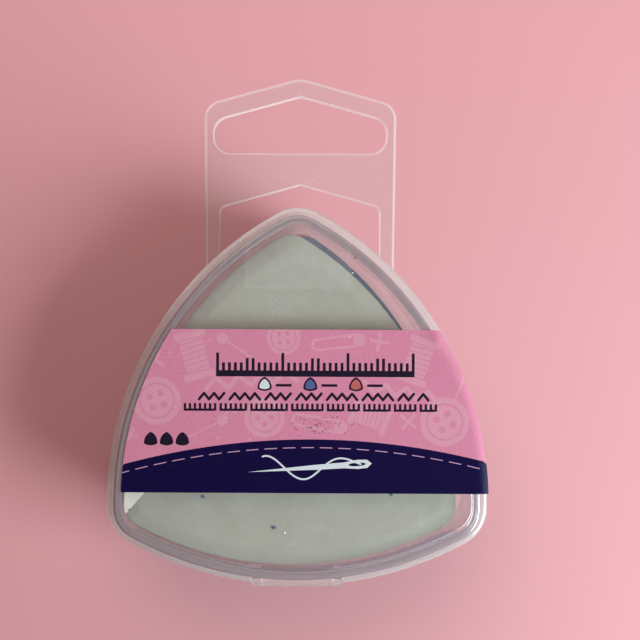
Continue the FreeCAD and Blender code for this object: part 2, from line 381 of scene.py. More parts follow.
FLANGE = 1.2  # thickness of either flange
SHELL = 1.2  # thickness of the tray's floor and the lid's face
ROOT_FILLET = 0.25  # where a flange leaves the wall
FOOT_ROUND, FLOOR_FILLET = 0.4, 0.5  # round the back, outside and inside
TRAY_RIM_INSET = 0.35  # the tray's flange is this much smaller than the lid's
LIP, LIP_ROUND = 0.6, 0.15  # thickness of the lip, and rounding of its top
DRAFT = math.tan(math.radians(0.5))
HINGE_Y = BACK_Y + 0.6  # the hinge's axis, at the height of the parting line
EAR_INNER, EAR_OUTER = 6.4, 7.9  # from the middle of the hinge
EAR_RADIUS = 0.8
EAR_ROOT, EAR_DEPTH = BACK_Y + 2.5, 3.3  # where an ear ends inside the wall, and below the parting line
PIN_RADIUS, PIN_HOLE = 0.4, 0.45
BAR_EASE, PIN_EASE = 0.04, 0.08  # of the end edges of the ears and the barrel, and of the pins
GABLE = math.radians(15.5)  # slope of the tab's top edges and of its openings
TAB_WIDTH, TAB_FOOT_WIDTH, TAB_FOOT = 35.7, 34.6, 15.0
TAB_ROUND, TAB_PEAK_ROUND = 3.4, 6.5
TAB_LOW = 0.02  # the tab's underside, just off the plane of the back
TAB_EDGE, OPENING_EDGE = 0.5, 0.3  # rounding of the upper edges
SLOT_WIDTH, SLOT_HEIGHT, SLOT_ROUND = 32.0, 10.3, 3.0
SLOT_DROP, WINDOW_DROP = 3.45, 19.8  # from the tab's peak to the openings' peaks
WINDOW_WIDTH, WINDOW_FOOT, WINDOW_ROUND = 29.5, 20.0, 1.4


def leaning(points):
    """Draft: moves a section's points in a little towards the back of the tray."""
    return [(inset + max(0, PARTING - z) * DRAFT, z) for inset, z in points]


def tray_section():
    """The tray's section, and the numbers of the points between which it is the flange's."""
    flange_low, lip_outer = PARTING - FLANGE, CAVITY_INSET - LIP
    foot = arc((WALL_INSET + FOOT_ROUND, FOOT_ROUND), FOOT_ROUND, 270, 180, 5)
    rim = arc((WALL_INSET - ROOT_FILLET, flange_low - ROOT_FILLET), ROOT_FILLET, 0, 90, 3)
    rim += arc((TRAY_RIM_INSET + 0.3, flange_low + 0.3), 0.3, 270, 180, 5)
    rim += arc((TRAY_RIM_INSET + 0.1, PARTING - 0.1), 0.1, 180, 90, 2)
    lip = [(lip_outer, PARTING)] + arc((lip_outer + LIP_ROUND, LIP_TOP - LIP_ROUND), LIP_ROUND, 180, 90, 3)
    lip += arc((CAVITY_INSET - LIP_ROUND, LIP_TOP - LIP_ROUND), LIP_ROUND, 90, 0, 3)
    floor = arc((CAVITY_INSET + FLOOR_FILLET, SHELL + FLOOR_FILLET), FLOOR_FILLET, 180, 270, 5)
    wall, inner_wall = leaning(foot), leaning(floor)
    collapsed = against_wall(rim, flange_low - ROOT_FILLET, PARTING)
    points = wall + rim + lip + inner_wall
    return section(points, wall + collapsed + lip + inner_wall), len(wall) - 1, len(wall) + len(rim)


def ear_shape():
    """An ear's section: round at its top, with a sloping underside that runs into the wall."""
    top = arc((HINGE_Y, PARTING), EAR_RADIUS, 0, 180, 14)
    slope = arc((HINGE_Y - EAR_RADIUS, PARTING - 3.6), 2.9, 90, 20, 6)
    slope = [(y, z) for y, z in slope if y < EAR_ROOT - 0.9]
    low = PARTING - EAR_DEPTH
    return [(EAR_ROOT, PARTING - 0.03)] + top + slope + [(EAR_ROOT - 0.7, low), (EAR_ROOT, low)]


def round_bar(radius, reach, materials):
    """A round bar along the hinge's axis, reaching as far both ways, for its pins and their holes."""
    circle = arc((HINGE_Y, PARTING), radius, 0, 360, 28)[:-1]
    return bar_mesh("round bar", circle, -reach, reach, materials, PIN_EASE)


def tab_plate(materials):
    """The hanging tab, with its slot and its window."""
    peak = TAB_HIGH.y
    slot_peak, window_peak = peak - SLOT_DROP, peak - WINDOW_DROP
    loops = [
        gabled(TAB_WIDTH, peak, TAB_FOOT, TAB_ROUND, TAB_PEAK_ROUND, foot_width=TAB_FOOT_WIDTH),
        gabled(SLOT_WIDTH, slot_peak, slot_peak - SLOT_HEIGHT, SLOT_ROUND, SLOT_ROUND, SLOT_ROUND),
        gabled(WINDOW_WIDTH, window_peak, WINDOW_FOOT, WINDOW_ROUND, WINDOW_ROUND),
    ]
    return plate("tab", loops, TAB_LOW, TAB_HIGH.z, TAB_EDGE, OPENING_EDGE, materials)


def clear_tray(materials):
    """The tray, the tab and the hinge's two ears, as one moulding."""
    profile, rim_first, rim_last = tray_section()
    slots = [RIM if rim_first <= j < rim_last else SIDE for j in range(len(profile) - 1)]
    tray = outward(swept("tray", outline(notch=NOTCH), profile, materials, slots))
    parts = [(tab_plate(materials), "UNION")]
    for x0, x1 in ((-EAR_OUTER, -EAR_INNER), (EAR_INNER, EAR_OUTER)):
        parts.append((bar_mesh("ear", ear_shape(), x0, x1, [materials[RIM]], BAR_EASE), "UNION"))
    parts.append((round_bar(PIN_HOLE, EAR_OUTER + 1.1, materials[:1]), "DIFFERENCE"))
    mesh = combined(tray, parts)
    piece = new_piece("clear_tray_and_tab", mesh, "case", "clear_plastic", "base_tray", "hang_tab")
    return moulded(piece)


# ---------------------------------------------------------------- the clear lid

RING_INSET = 3.05  # where the ring over the lid's wall ends; its grey, milky colour is partly haze and partly painted shade of the wall seen end-on
FACE_ROUND, CEILING_FILLET, RIM_ROUND = 0.6, 0.35, 0.85
LIP_PLAY = 0.08  # between the tray's lip and the lid's rebate
RIM_GAP = 0.06  # between the two flanges
BARREL_RADIUS, BARREL_REACH = 0.8, 6.25  # its reach is half its length
BARREL_ROOT = BACK_Y + 1.9  # where it ends inside the wall


def lid_section():
    """The lid's section, and the numbers of the points between which it is the flange's."""
    flange_low, flange_top = PARTING + RIM_GAP, PARTING + RIM_GAP + FLANGE
    edge = [(RING_INSET, DEPTH)] + arc((WALL_INSET + FACE_ROUND, DEPTH - FACE_ROUND), FACE_ROUND, 90, 180, 7)
    rim = arc((WALL_INSET - ROOT_FILLET, flange_top + ROOT_FILLET), ROOT_FILLET, 0, -90, 3)
    rim += arc((RIM_ROUND, flange_top - RIM_ROUND), RIM_ROUND, 90, 180, 10)
    rim += arc((0.1, flange_low + 0.1), 0.1, 180, 270, 2)
    rebate, rebate_top = CAVITY_INSET - LIP - LIP_PLAY, LIP_TOP + LIP_PLAY
    inside = [(rebate, flange_low), (rebate, rebate_top), (CAVITY_INSET, rebate_top)]
    inside += arc((CAVITY_INSET + CEILING_FILLET, DEPTH - SHELL - CEILING_FILLET), CEILING_FILLET, 180, 90, 5)
    collapsed = against_wall(rim, flange_top + ROOT_FILLET, flange_low)
    return section(edge + rim + inside, edge + collapsed + inside), len(edge) - 1, len(edge) + len(rim)


def clear_lid(materials):
    """The lid with the hinge's barrel and its two pins, as one moulding."""
    profile, rim_first, rim_last = lid_section()
    slots = []
    for j in range(len(profile) - 1):
        slots.append(RING if j < rim_first else RIM if rim_first < j < rim_last else SIDE)
    lid = outward(swept("lid", outline(notch=NOTCH), profile, materials, slots))
    barrel = [(BARREL_ROOT, PARTING + BARREL_RADIUS)]
    barrel += arc((HINGE_Y, PARTING), BARREL_RADIUS, 90, 370, 24) + [(BARREL_ROOT, PARTING + 0.15)]
    bars = (bar_mesh("barrel", barrel, -BARREL_REACH, BARREL_REACH, [materials[RIM]], BAR_EASE),
            round_bar(PIN_RADIUS, EAR_OUTER, materials[:1]))
    mesh = combined(lid, [(bar, "UNION") for bar in bars])
    piece = new_piece("clear_lid", mesh, "lid", "clear_plastic", "lid")
    return moulded(piece)


# ---------------------------------------------------------------- the chalks

CHALK_INSET, CHALK_CORNER, CHALK_THICKNESS = 4.4, 3.8, 5.2
CHALK_BEVEL, CHALK_DROP = 2.4, 0.6  # how wide the bevel round each face is, and how far it falls
CHALK_PLAY = CHALK_INSET - CAVITY_INSET  # how far a chalk can slide from the middle of the tray
CHALK_GAP = 0.02  # between a chalk and what it rests on
CHALKS = [  # name, slot, then slide in x and y and a corner's swing, in shares of the play
    ("red_chalk", "chalk_red", -0.44, 0.34, -0.72),
    ("blue_chalk", "chalk_blue", -0.34, -0.12, -1.10),
    ("white_chalk", "chalk_white", -0.70, -0.16, 0.03),
]
# The front chalk's strip is flattened, and coloured pale as a painted patch of light
LIT_STRIP_LENGTH, LIT_STRIP_FADE = 10.0, 1.5  # of the strip painted pale as a patch of light, and of the taper at its far end
LIT_STRIP_SLANT = 0.8  # how far that end leans back
LIT_STRIP_DEPTH = 0.04  # below the chalk's face


def chalk_section():
    """Half a section, from the middle of a face: (share of the face, share of the bevel, drop)."""
    half = [(share, 0.0, 0.0) for share in (0, 0.12, 0.26, 0.4, 0.54, 0.67, 0.78, 0.87, 0.94, 0.975)]
    for share in (0.0, 0.05, 0.12, 0.3, 0.55, 0.8, 0.93, 0.98):
        ease = 0.054 * math.exp(-(share / 0.1) ** 2)
        half.append((1.0, share, CHALK_DROP * (share + ease)))
    for share, drop in ((1.0, 0.06), (1.004, 0.2), (1.0, 0.9)):
        half.append((1.0, share, CHALK_DROP + drop))
    return half


def worn(point, seed):
    """Where wear leaves a place on a chalk: a little lower, and chipped along the edge."""
    spot = point + Vector((seed * 17.3, seed * 5.1, seed * 29.7))
    soft = noise.noise(spot * 0.16) * 0.035 + noise.noise(spot * 0.7) * 0.012
    out = Vector((point.x, point.y, 0))
    upright = 1 if point.z > CHALK_THICKNESS / 2 else -1
    if 0 < point.z < CHALK_THICKNESS and out.length > 18:
        point = point - out.normalized() * max(0, noise.noise(spot * 0.9) - 0.34) * 0.35
    return Vector((point.x, point.y, min(CHALK_THICKNESS, max(0, point.z + upright * (soft - 0.03)))))


def chalk_mesh(name, seed, materials):
    """One worn chalk, centred, with its back at z = 0."""
    rim = outline(CHALK_INSET, CHALK_CORNER, 30, 60, sides=CHALK_SIDES)
    face = outline(CHALK_INSET + CHALK_BEVEL, CHALK_CORNER - CHALK_BEVEL / 2, 30, 60, sides=CHALK_SIDES)
    half = [(inner, bevel, CHALK_THICKNESS - drop) for inner, bevel, drop in chalk_section()]
    rows = half + [(inner, bevel, drop) for inner, bevel, drop in reversed(chalk_section())]
    points = []
    for inner, bevel, z in rows:
        for near, far in zip(face, rim):
            middle = near.at(0, z)
            point = Vector((middle.x * inner, middle.y * inner, z)).lerp(far.at(0, z), bevel)
            points.append(worn(point, seed))
    mesh = mesh_from(name, points, [quad[::-1] for quad in ring_faces(len(rows), len(rim))], materials)
    with edited(mesh) as work:
        bmesh.ops.remove_doubles(work, verts=work.verts, dist=0.002 * MM)
        bmesh.ops.recalc_face_normals(work, faces=work.faces)
    return mesh


def light_painted(mesh):
    """Flattens a strip of the front chalk's left side, past a straight line, in the second material, whose
    pale colour is a painted patch of light.
    """
    foot, along, away = Vector((-28.2, -15.6, 0)), Vector((0.66, 0.75, 0)), Vector((-0.75, 0.66, 0))
    end, onward = foot + along * LIT_STRIP_LENGTH, (along - away * LIT_STRIP_SLANT).normalized()

    def in_strip(place):
        offset = place - foot
        return offset.dot(away) > 0 and offset.dot(along) > -4 and (place - end).dot(onward) < 0

    with edited(mesh) as work:
        for spot, normal in ((foot, away), (end, onward)):
            everything = work.verts[:] + work.edges[:] + work.faces[:]
            bmesh.ops.bisect_plane(
                work, geom=everything, plane_co=spot * MM, plane_no=normal, dist=0.001 * MM)
        upper = [face for face in work.faces if face.normal.z > 0.5]
        patch = [face for face in upper if in_strip(face.calc_center_median() / MM)]
        for face in patch:
            face.material_index = 1
        made = bmesh.ops.extrude_face_region(work, geom=patch)["geom"]
        raised = [part for part in made if isinstance(part, bmesh.types.BMVert)]
        for vert in raised:
            left = max(0.02, min(1, (end - vert.co / MM).dot(onward) / LIT_STRIP_FADE))
            vert.co.z += ((CHALK_THICKNESS - LIT_STRIP_DEPTH) * MM - vert.co.z) * left
        work.normal_update()
        for edge in {edge for vert in raised for face in vert.link_faces for edge in face.edges}:
            if len({face.material_index for face in edge.link_faces}) > 1 or edge.calc_face_angle(0) > 0.3:
                edge.smooth = False
    return mesh


CRUMBS = [  # crumbs on the front chalk and beside it: x, y, height, radius, material
    (-15.0, -12.8, 5.2, 0.34, 2), (-2.8, -18.0, 5.2, 0.42, 2), (17.4, -12.3, 5.2, 0.3, 2),
    (-1.0, -18.9, 5.2, 0.22, 1), (10.6, 25.9, 5.15, 0.2, 1), (4.0, 33.9, 4.5, 0.28, 2),
    (11.1, 28.6, 4.5, 0.26, 2), (-27.7, -15.0, 5.2, 0.17, 4),
]


def with_crumbs(mesh):
    """Adds the crumbs, flattened and uneven, to the front chalk's mesh."""
    with edited(mesh) as work:
        for number, (x, y, z, radius, slot) in enumerate(CRUMBS):
            made = bmesh.ops.create_icosphere(work, subdivisions=2, radius=radius)
            for vert in made["verts"]:
                uneven = 1 + 0.6 * noise.noise(vert.co * 3 + Vector((number * 7.1, 0, 0)))
                vert.co = (Vector((x, y, z)) + Vector((1, 0.8, 0.6)) * vert.co * uneven) * MM
            for face in {face for vert in made["verts"] for face in vert.link_faces}:
                face.material_index = slot
    return mesh


def chalk(index, materials):
    """One chalk where it has slid to. The front one, with several materials, has crumbs and a flattened strip
    painted pale as a patch of light.
    """
    name, slot, slide_x, slide_y, swing = CHALKS[index]
    mesh = chalk_mesh(name, index + 1, materials)
    if len(materials) > 1:
        mesh = with_crumbs(light_painted(mesh))
    turn = swing * CHALK_PLAY / (SPAN / math.sqrt(3) + CORNER - CHALK_INSET)
    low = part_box(name)[0].z
    place = Vector((slide_x * CHALK_PLAY, slide_y * CHALK_PLAY, low / MM + CHALK_GAP))
    mesh.transform(Matrix.Translation(place * MM) @ Matrix.Rotation(turn, 4, "Z"))
    mesh.polygons.foreach_set("use_smooth", [True] * len(mesh.polygons))
    return new_piece("worn_" + name, mesh, "case", slot, name)


# ---------------------------------------------------------------- the printed label

LABEL_BOTTOM, LABEL_TOP = LABEL_LOW.y, LABEL_HIGH.y
LABEL_INSET, LABEL_SHIFT = 1.55, 1.4  # in from the flange's edge, and off the middle to the right
LABEL_Z = DEPTH + 0.03  # its underside
LABEL_THICKNESS = 0.1
BEND_INSET = 2.0  # where the lid's face starts to round off and the overhanging label leaves it
EDGE_MARGIN = 0.06  # lines added inside the label stay this far from its edge
FIELD, PALE, BAND, STITCH, DARK, WHITE, BLUE, RED, SMUDGE = range(9)


def corner_sectors():
    """Each corner of the case: its arc's centre, where the arc starts, and how far it turns."""
    tips = []
    for turn in (90, 210, 330):
        tip = polar(SPAN / math.sqrt(3), turn)
        ends = []
        for middle in (turn - 60, turn + 60):
            away = tip - polar(SIDES[middle % 360][0], middle + 180)
            ends.append(math.atan2(away.y, away.x))
        tips.append((tip, ends[0], (ends[1] - ends[0]) % TURN))
    return tips


CORNERS = corner_sectors()


def depth_inside(x, y):
    """How far a place lies inside the flange's outline, and the outward direction there."""
    point = Vector((x, y))
    for tip, start, sweep in CORNERS:
        away = point - tip
        if away.length > 0 and (math.atan2(away.y, away.x) - start) % TURN < sweep:
            return CORNER - away.length, away.normalized()
    found = None
    for middle, (behind, radius) in SIDES.items():
        away = point - polar(behind, middle + 180)
        inset = radius - away.length
        if found is None or inset < found[0]:
            found = (inset, away.normalized())
    return found


def clipped(loop, level, sign):
    """The part of a closed line above a level, or below it where sign is -1."""
    result = []
    for index, point in enumerate(loop):
        before = loop[index - 1]
        if (sign * (point.y - level) > 0) != (sign * (before.y - level) > 0):
            result.append(before.lerp(point, (level - before.y) / (point.y - before.y)))
        if sign * (point.y - level) > 0:
            result.append(point)
    return result


def label_outline():
    """The label's closed edge: two straight cuts across the case's own outline."""
    loop = [station.at(LABEL_INSET, 0).to_2d() + Vector((LABEL_SHIFT, 0)) for station in outline()]
    return divided(clipped(clipped(loop, LABEL_BOTTOM, 1), LABEL_TOP, -1), 1.0)


def divided(loop, most):
    """A closed line whose long edges are split."""
    result = []
    for index, point in enumerate(loop):
        following = loop[(index + 1) % len(loop)]
        steps = max(1, math.ceil((following - point).length / most))
        result += [point.lerp(following, step / steps) for step in range(steps)]
    return result


def disc(x, y, radius, steps):
    """Points round a circle."""
    angles = (TURN * step / steps for step in range(steps))
    return [Vector((x + radius * math.cos(angle), y + radius * math.sin(angle))) for angle in angles]


def stroke(points, width, closed=False):
    """Capsules along a line, as drawn with a round pen."""
    points = [Vector(point) for point in points]
    shapes = []
    for a, b in zip(points, points[1:] + (points[:1] if closed else [])):
        heading = math.atan2((b - a).y, (b - a).x)
        shape = []
        for centre, start in ((b, heading - math.pi / 2), (a, heading + math.pi / 2)):
            for step in range(7):
                angle = start + math.pi * step / 6
                shape.append(centre + Vector((math.cos(angle), math.sin(angle))) * width / 2)
        shapes.append(shape)
    return shapes


def placed(shapes, x, y, size=1.0, turn=0.0):
    """Shapes drawn about the origin, scaled, turned and moved."""
    cosine, sine = math.cos(turn) * size, math.sin(turn) * size

    def moved(point):
        return Vector((x + point.x * cosine - point.y * sine, y + point.x * sine + point.y * cosine))

    return [[moved(point) for point in shape] for shape in shapes]


def inked(ink, shapes):
    """Shapes paired with the ink that they are printed in."""
    return [(ink, shape) for shape in shapes]


def button():
    """A round button with a line inside its rim and four holes."""
    holes = [disc(x, y, 0.36, 12) for x in (-0.62, 0.62) for y in (-0.62, 0.62)]
    rim_line = stroke(disc(0, 0, 1.85, 32), 0.2, closed=True)
    return inked(PALE, [disc(0, 0, 2.55, 40)]) + inked(FIELD, rim_line + holes)


def spool():
    """A cotton reel from the side."""
    ends = bar(-1.8, 1.8, 2.0, 2.8) + bar(-1.8, 1.8, -2.8, -2.0)
    drawn = inked(PALE, ends + bar(-1.35, 1.35, -1.85, 1.85))
    for level in range(6):
        drawn += inked(FIELD, stroke([(-1.5, level * 0.62 - 1.7), (1.5, level * 0.62 - 1.4)], 0.13))
    return drawn


def pin():
    """A pin with a round head."""
    return inked(PALE, [disc(0, 2.4, 0.75, 18)] + bar(-0.13, 0.13, -2.8, 2.0))


def zigzag(count, width, pitch=1.3, height=1.2):
    """A zigzag stitch of count strokes, about its middle."""
    return stroke([(i * pitch - count * pitch / 2, height * (i % 2 - 0.5)) for i in range(count + 1)], width)


def cross_stitch():
    return inked(PALE, stroke([(-0.9, -0.9), (0.9, 0.9)], 0.42) + stroke([(-0.9, 0.9), (0.9, -0.9)], 0.42))


def zigzags():
    return inked(PALE, zigzag(8, 0.5))


def safety_pin():
    """A closed safety pin, with its round guard at the right."""
    loop = [(-3, 0.7), (2.4, 0.9), (3.1, 0.55), (3.1, -0.35),
            (2.4, -0.7), (-2.9, -0.7), (-3.4, -0.35), (-3.4, 0.3)]
    return inked(PALE, stroke(loop, 0.34, closed=True) + [disc(3.0, 0.1, 0.85, 18)])


def chalk_sign(size):
    """The chalk's own shape, as a small solid sign."""
    return [[station.at(0, 0).to_2d() * size / 33 for station in outline(corner_steps=8, side_steps=10)]]


def band_top(x):
    """Height of the dark band's arched top edge."""
    return -2.9 - 0.00422 * (x - 2.6) ** 2


def bar(x0, x1, y0, y1):
    """A plain upright rectangle."""
    return [[Vector((x0, y0)), Vector((x1, y0)), Vector((x1, y1)), Vector((x0, y1))]]


def sewing_pattern():
    """Sewing things scattered over the label's ground, in the paler ink."""
    motifs = [  # what, x, y, size, turn
        (button, -24.0, 3.6, 1.6, 0.3), (spool, -17.6, 11.4, 1.5, 0.25), (pin, -10.2, 12.6, 1.3, 1.0),
        (cross_stitch, -24.4, 10.6, 1.3, 0.2), (button, -2.4, 14.4, 1.15, 0.1),
        (safety_pin, 6.8, 13.6, 1.25, 0.1), (cross_stitch, 13.9, 13.9, 1.2, 0.6),
        (spool, 20.6, 10.6, 1.45, -0.35), (pin, 28.0, 6.6, 1.3, -0.4), (button, 25.2, 0.2, 1.65, 0.5),
        (cross_stitch, 19.0, 0.2, 1.2, 0.1), (spool, 12.4, 0.9, 1.2, 1.2), (safety_pin, 3.6, -0.2, 1.3, -0.2),
        (button, -5.6, 0.8, 1.35, 0.8), (cross_stitch, -11.8, 2.2, 1.1, 0.4), (pin, -15.4, -1.0, 1.2, -1.1),
        (cross_stitch, -28.4, -2.2, 0.9, 0.4), (zigzags, -8.0, 7.2, 1.5, 0.1),
        (zigzags, 16.8, 5.4, 1.4, -0.15),
    ]
    drawn = []
    for motif, x, y, size, turn in motifs:
        for ink, shape in motif():
            drawn += inked(ink, placed([shape], x, y, size, turn))
    return drawn


def ruled_scale():
    """A bold ruled scale with no figures, across the middle of the label."""
    left, right, foot, spine = -13.9, 20.0, 7.8, 1.05
    half, divisions = 0.25, 33
    shapes = bar(left, right, foot, foot + spine)
    for tick in range(divisions + 1):
        x = left + half + tick * (right - left - 2 * half) / divisions
        height = 3.0 if tick % 11 == 0 else 2.1 if tick % 11 in (5, 6) else 1.35
        shapes += bar(x - half, x + half, foot + 0.9, foot + spine + height)
    return inked(DARK, shapes)


def colour_signs():
    """A sign in each chalk's colour, outlined in dark ink, with a short rule beside it."""
    drawn, y = [], 6.4
    for x, ink in ((-5.6, WHITE), (2.2, BLUE), (10.0, RED)):
        drawn += inked(DARK, placed(chalk_sign(1.2), x, y))
        drawn += inked(ink, placed(chalk_sign(0.86), x, y))
        drawn += inked(DARK, bar(x + 1.9, x + 4.6, y - 0.3, y + 0.15))
    return drawn


def machine_stitches():
    """Two broken rows of machine stitches: zigzags above, and below them stitches over an edge."""
    rows, pitch, shapes = random.Random(11), 0.86, []
    for y, left, right, edged in ((4.4, -16.8, 22.2, False), (2.55, -19.4, 24.6, True)):
        x = left
        while x < right - 0.8:
            length = min(rows.randint(2, 7) * pitch, right - x)
            if edged:
                shapes += bar(x, x + length, y - 0.66, y - 0.26)
                for step in range(int(length / pitch) + 1):
                    shapes += bar(x + step * pitch, x + step * pitch + 0.42, y - 0.6, y + 0.66)
            else:
                shapes += placed(zigzag(max(2, round(length / pitch)), 0.46, pitch, 1.05), x + length / 2, y)
            x += length + 0.95
    return inked(DARK, shapes)


def chalk_marks():
    """Three dark chalk signs in a row, above the band's left end."""
    drawn = []
    for index in range(3):
        drawn += inked(DARK, placed(chalk_sign(1.15), -25.0 + index * 2.7, -3.05))
    return drawn


def running_stitches():
    """A row of stitches that follows the dark band's top edge."""
    shapes, x = [], -30.7
    while x < 31.4:
        shapes += stroke([(x, band_top(x) - 1.4), (x + 2.0, band_top(x + 2.0) - 1.4)], 0.15)
        x += 3.15
    return inked(STITCH, shapes)


def ink_specks():
    """Specks of dark ink worn off the band onto the ground above it."""
    specks, drawn = random.Random(5), []
    for _ in range(46):
        x, y = specks.gauss(3.4, 2.9), specks.gauss(-0.4, 0.75)
        heading, length = specks.uniform(0, math.pi), specks.uniform(0.1, 0.6)
        ends = [(x, y), (x + length * math.cos(heading), y + length * math.sin(heading))]
        drawn += inked(SMUDGE, stroke(ends, specks.uniform(0.06, 0.16)))
    return drawn


def needle_sign():
    """A needle whose thread runs through its eye and loops back across it."""
    needle = [(-8.4, 0.0), (3.0, 0.42), (8.0, 0.5), (10.4, 0.78), (12.0, 0.7), (12.8, 0.0),
              (12.0, -0.7), (10.4, -0.78), (8.0, -0.5), (3.0, -0.42)]
    eye = [(10.3 + 1.5 * point.x, 0.3 * point.y) for point in disc(0, 0, 1, 16)]
    thread = []
    for step in range(90):
        share = step / 89
        thread.append((10.9 - 16.6 * share, (0.9 + 1.7 * share) * math.sin(share * math.pi * 2.6)))
    drawn = []
    for ink, shapes in ((WHITE, [needle]), (BAND, [eye]), (WHITE, stroke(thread, 0.3))):
        shapes = [[Vector(point) for point in shape] for shape in shapes]
        drawn += inked(ink, placed(shapes, 0.0, -7.9, 1.0, 0.075))
    return drawn


def label_print():
    """Everything printed on the label, as (ink, shape), from the bottom up."""
    return (sewing_pattern() + ruled_scale() + colour_signs() + machine_stitches() + chalk_marks()
            + running_stitches() + needle_sign() + ink_specks())


def on_label(x, y):
    """Whether a place is on the label and clear of its edge."""
    inset, _ = depth_inside(x - LABEL_SHIFT, y)
    return inset > LABEL_INSET + EDGE_MARGIN and LABEL_BOTTOM + EDGE_MARGIN < y < LABEL_TOP - EDGE_MARGIN


def guide_lines():
    """Lines that the label's mesh follows: along the dark band's top and along its bend at the right."""
    lines = [[(x * 0.5, band_top(x * 0.5)) for x in range(-64, 70)]]
    for step in range(11):
        inset = BEND_INSET + 0.5 - step * 0.3
        line = [station.at(inset, 0).to_2d() for station in outline(side_steps=60)]
        lines.append([point for point in line if point.x > 8])
    return lines


def label_mesh(materials):
    """The label's mesh, cut along everything printed on it."""
    outer, printed = label_outline(), label_print()
    points, edges = [], []
    for shape in [outer] + [shape for _, shape in printed]:
        first, count = len(points), len(shape)
        points += shape
        edges += [(first + i, first + (i + 1) % count) for i in range(count)]
    for line in guide_lines():
        last = None
        for x, y in line:
            if not on_label(x, y):
                last = None
                continue
            if last is not None:
                edges.append((last, len(points)))
            last = len(points)
            points.append(Vector((x, y)))
    for column in range(-17, 19):
        for row in range(-8, 10):
            x, y = column * 1.9 + 0.13 * row, row * 1.83 + 0.05 * column
            if on_label(x, y):
                points.append(Vector((x, y)))
    flat, _, cut, _, _, _ = geometry.delaunay_2d_cdt(points, edges, [], 0, 0.004, False)
    boxes = [(ink, shape, bounds(shape)) for ink, shape in printed]
    kept, slots, outer_box = [], [], bounds(outer)
    for face in cut:
        centre = sum((flat[i] for i in face), Vector((0, 0))) / len(face)
        if covers(outer, outer_box, centre):
            a, b, c = (flat[i] for i in face[:3])
            kept.append(tuple(face) if (b - a).cross(c - a) > 0 else tuple(reversed(face)))
            slots.append(ink_at(centre, boxes))
    return sheet(flat, kept, slots, materials)


def sheet(flat, faces, slots, materials):
    """The printed face bent into place, over a blank back and cut edge in the last material."""
    used = sorted({index for face in faces for index in face})
    place = {index: number for number, index in enumerate(used)}
    top = [tuple(place[index] for index in face) for face in faces]
    count, rise = len(used), Vector((0, 0, LABEL_THICKNESS))
    lows = [Vector(bent(flat[index])) for index in used]
    ups = [tilt(flat[index]) for index in used]
    points = [low + rise for low in lows] + lows
    normals = ups + [-up for up in ups]
    made = top + [tuple(count + index for index in reversed(face)) for face in top]
    sides = {(a, b) for face in top for a, b in zip(face, face[1:] + face[:1])}
    for a, b in sorted(side for side in sides if side[::-1] not in sides):
        first = len(points)
        out = (lows[b] - lows[a]).cross(rise).normalized()
        points += [lows[a], lows[b], lows[b] + rise, lows[a] + rise]
        normals += [out] * 4
        made.append((first, first + 1, first + 2, first + 3))
    slots = slots + [len(materials) - 1] * (len(made) - len(slots))
    mesh = mesh_from("label", points, made, materials, slots)
    mesh.normals_split_custom_set_from_vertices(normals)
    return mesh


def tilt(point):
    """The direction that the bent label faces at a place."""
    step = 0.05
    east, west, north, south = (
        Vector(bent(point + Vector(move) * step)) for move in ((1, 0), (-1, 0), (0, 1), (0, -1)))
    return (east - west).cross(north - south).normalized()


def bounds(shape):
    """The least and greatest x and y of a shape, as (x, y, x, y)."""
    xs, ys = [point.x for point in shape], [point.y for point in shape]
    return min(xs), min(ys), max(xs), max(ys)


def covers(shape, box, point):
    """Whether a closed line goes round a point."""
    x, y = point
    if not (box[0] <= x <= box[2] and box[1] <= y <= box[3]):
        return False
    within = False
    for index, b in enumerate(shape):
        a = shape[index - 1]
        if (a.y > y) != (b.y > y) and x < a.x + (b.x - a.x) * (y - a.y) / (b.y - a.y):
            within = not within
    return within


def ink_at(point, printed):
    """The uppermost ink at a place. The motifs end at the dark band."""
    on_band = point.y < band_top(point.x)
    for ink, shape, box in reversed(printed):
        if not (on_band and ink in (PALE, FIELD)) and covers(shape, box, point):
            return ink
    return BAND if on_band else FIELD


def bent(point):
    """Where a place on the flat label ends up: past the lid's face it curls down over the edge."""
    x, y = point
    inset, out = depth_inside(x, y)
    over = BEND_INSET - inset
    crease = math.exp(-((x - 24.0) / 1.2) ** 2 - ((y - 14.9) / 2.2) ** 2)
    lift = 0.02 * noise.noise(Vector((x * 0.3, y * 0.3, 4.0))) + 0.012
    lift = max(0, lift) + 0.22 * crease
    if over <= 0 or x < 8:
        return (x, y, LABEL_Z + lift)
    radius, steepest = 3.6, 0.62
    angle = min(over / radius, steepest)
    straight = max(0, over - radius * steepest)
    reach = radius * math.sin(angle) + straight * math.cos(steepest)
    drop = radius * (1 - math.cos(angle)) + straight * math.sin(steepest)
    moved = Vector((x, y)) + out * (reach - over)
    return (moved.x, moved.y, LABEL_Z + lift - drop)


def label(materials, back):
    """The printed label: its inks, in their order, on paper whose back and cut edge are bare."""
    return new_piece("printed_label", label_mesh(materials + [back]), "lid", "printed_label", "front_label")


# ---------------------------------------------------------------- the sealing tape

TAPE_GAP = 0.03  # between the film and the lid's face
TAPE_CREASE = 2.0  # inset at which the film leaves the face
TAPE_DROPS = [  # how it falls from there: inset, then drop below the face
    (TAPE_CREASE, 0.0), (1.75, 0.05), (1.52, 0.19), (1.38, 0.45), (1.22, 0.85), (0.9, 1.6), (0.58, 2.3),
    (0.3, 2.95), (0.08, 3.3), (-0.05, 3.65), (-0.09, 4.2), (-0.09, 5.0), (-0.07, 5.8), (-0.05, 6.4),
]


